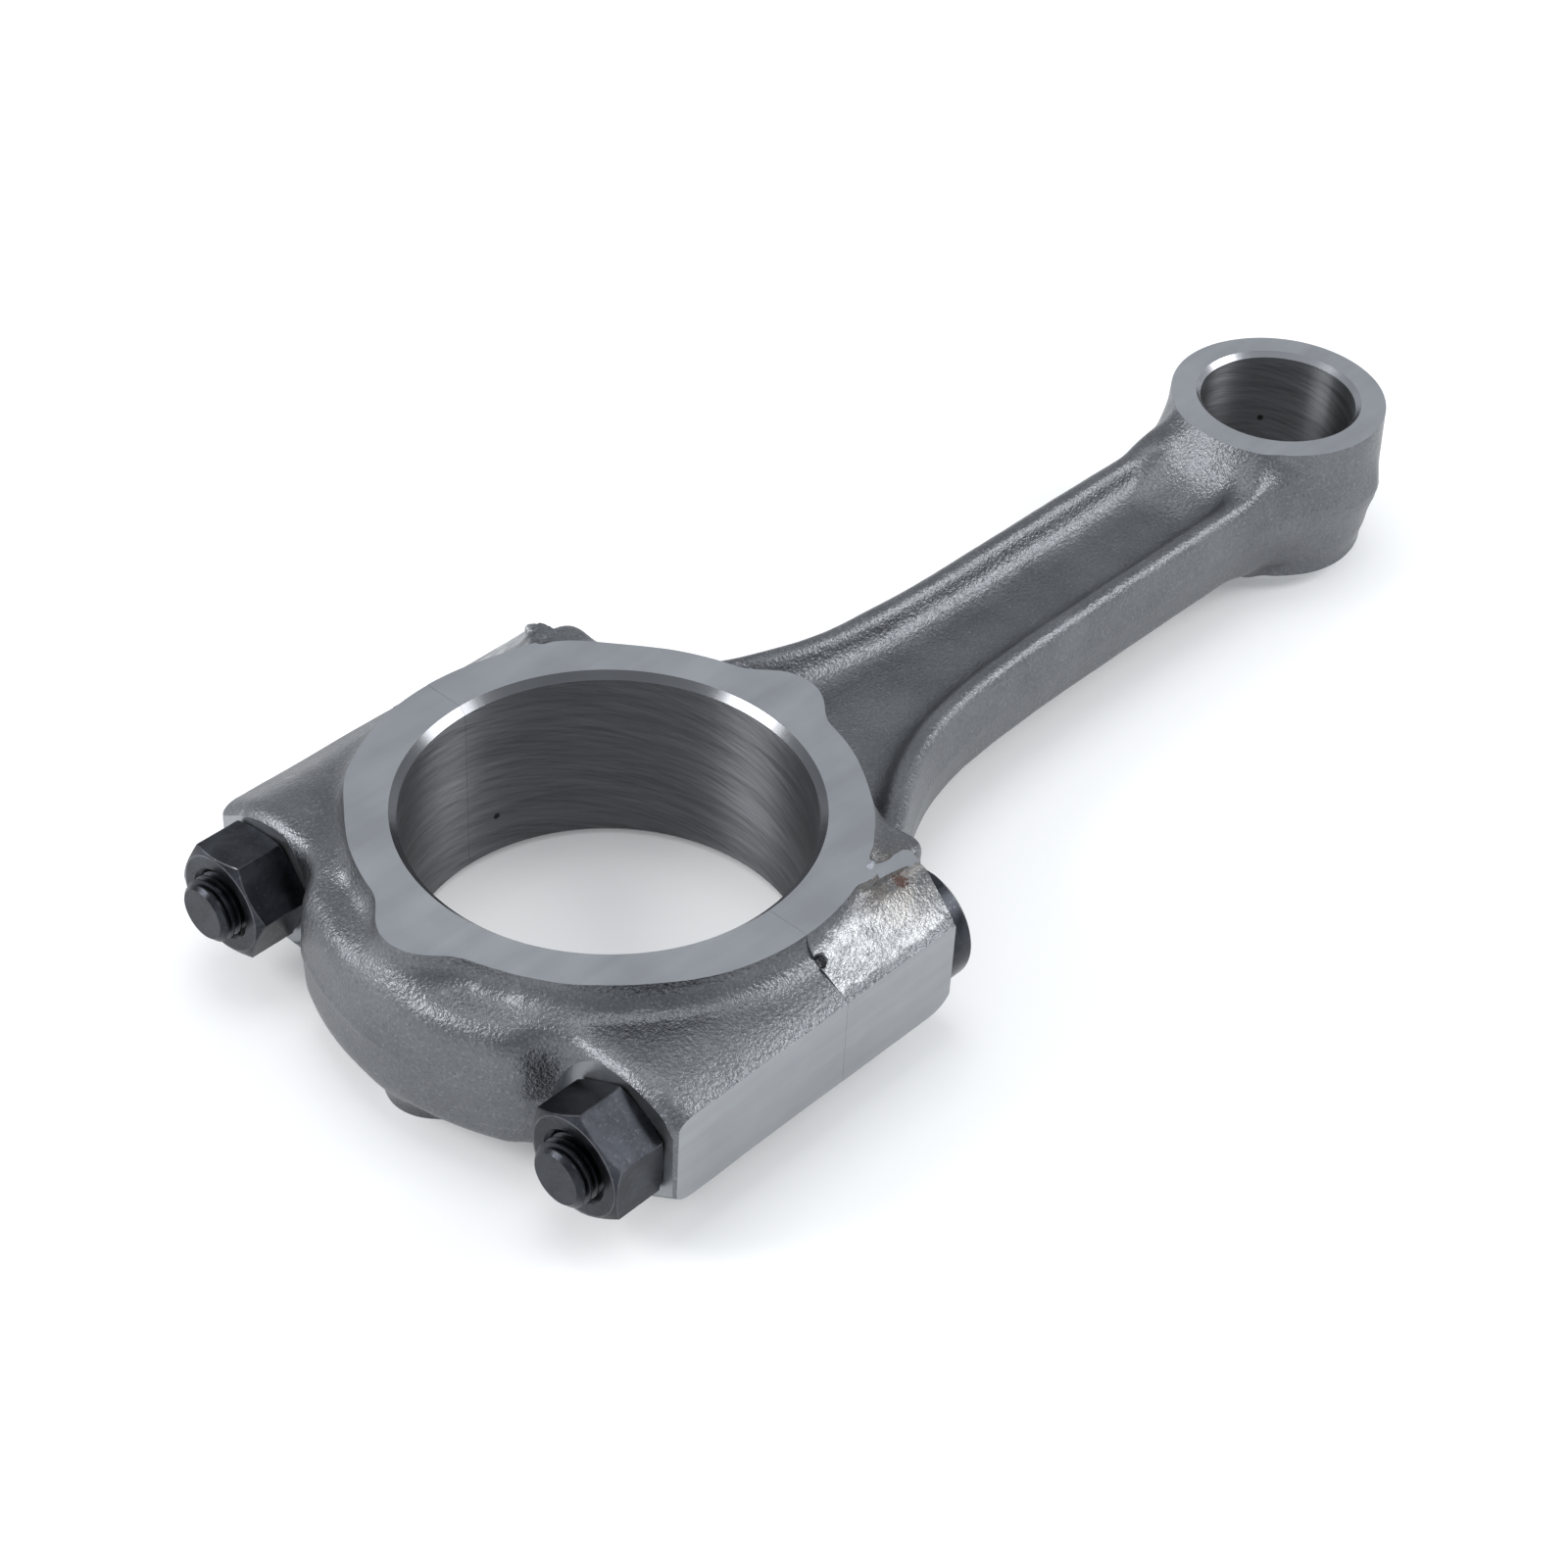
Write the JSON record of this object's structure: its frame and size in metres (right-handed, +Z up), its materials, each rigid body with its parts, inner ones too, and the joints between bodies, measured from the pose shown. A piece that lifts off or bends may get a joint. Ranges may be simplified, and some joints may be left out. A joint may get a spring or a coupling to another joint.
{
  "type": "connecting rod",
  "caption": "Engine connecting rod: forged I-beam with a plain small-end eye and a split big end closed by a bolted bearing cap.",
  "frame": {"origin": "on the plane that the part lies on, under the middle of its bounding box", "axes": "+X from the big end to the small end, +Z up along both bore axes, and +Y across the bolts"},
  "size_m": [0.1826, 0.0752, 0.0254],
  "materials": {
    "forged_steel": "shot-blasted forging, with ground thrust faces, honed bores and milled bolt bosses",
    "black_oxide_steel": "black oxide, lightly oiled"
  },
  "bodies": {
    "rod": {"rod_forging": "forged_steel", "cap_bolt_left": "black_oxide_steel", "cap_bolt_right": "black_oxide_steel"},
    "cap": {"bearing_cap": "forged_steel"},
    "nut_left": {"cap_nut_left": "black_oxide_steel"},
    "nut_right": {"cap_nut_right": "black_oxide_steel"}
  },
  "joints": [
    {"name": "cap_slide", "type": "slide", "parent": "rod", "child": "cap", "axis": [-1, 0, 0], "range_m": [0, 0.01]},
    {"name": "nut_left_turn", "type": "hinge", "parent": "cap", "child": "nut_left", "pos_m": [-0.08135, 0.0294, 0.0127], "axis": [-1, 0, 0], "range_deg": [0, 3600]},
    {"name": "nut_right_turn", "type": "hinge", "parent": "cap", "child": "nut_right", "pos_m": [-0.08135, -0.0294, 0.0127], "axis": [-1, 0, 0], "range_deg": [0, 3600]}
  ],
  "couplings": [
    {"joint": "nut_left_turn", "follows": "cap_slide", "rad_per_m": 6283.2},
    {"joint": "nut_right_turn", "follows": "cap_slide", "rad_per_m": 6283.2}
  ]
}
